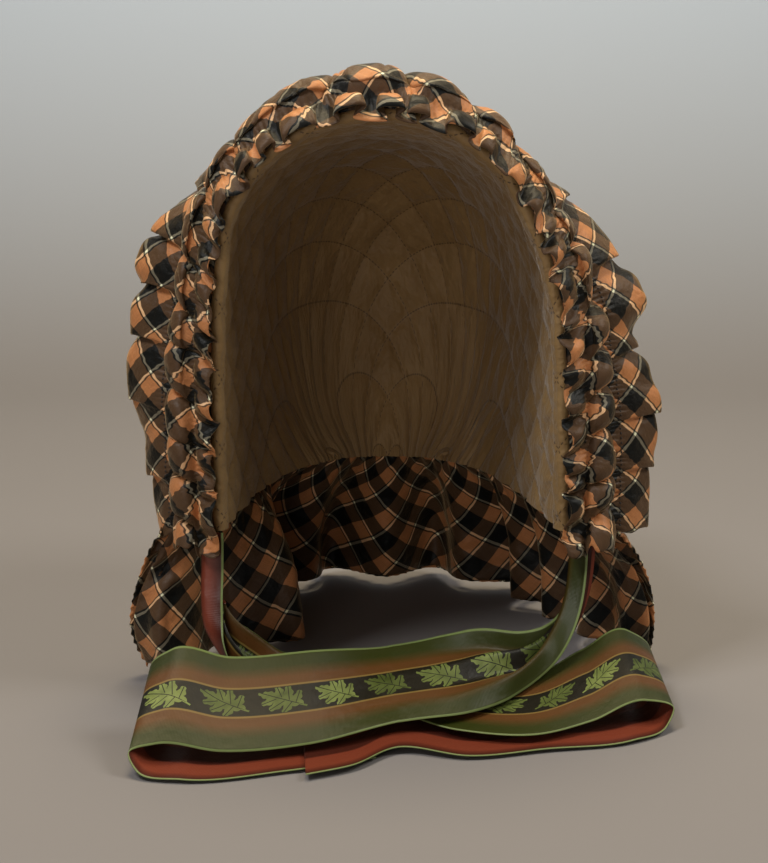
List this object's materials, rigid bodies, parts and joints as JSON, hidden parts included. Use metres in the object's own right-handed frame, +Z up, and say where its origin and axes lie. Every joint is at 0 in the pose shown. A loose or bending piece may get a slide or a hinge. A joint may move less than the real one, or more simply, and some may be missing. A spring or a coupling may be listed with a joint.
{
  "type": "quilted hood",
  "caption": "Wadded plaid silk hood with a ruched face edge, a gathered neck curtain, a gold quilted lining and ribbon ties laid in loops in front.",
  "frame": {"origin": "the top of the hollow over the ears, where the wearer's crown sits", "axes": "+Z up; the face opening looks towards -Y; +X is to the right as seen from the front"},
  "size_m": [0.2962, 0.37, 0.3375],
  "materials": {
    "plaid_silk": "plaid silk taffeta in black, orange and cream, with a soft sheen",
    "gold_lining": "golden tan silk, quilted",
    "green_ribbon": "green and bronze shaded silk ribbon with a dark band of leaves, red-brown on the reverse"
  },
  "bodies": {
    "root": {"brim": "plaid_silk", "crown": "plaid_silk", "face_ruche": "plaid_silk", "curtain": "plaid_silk", "curtain_ruche": "plaid_silk", "lining": "gold_lining", "tie_right": "green_ribbon", "tie_left": "green_ribbon"}
  },
  "joints": []
}
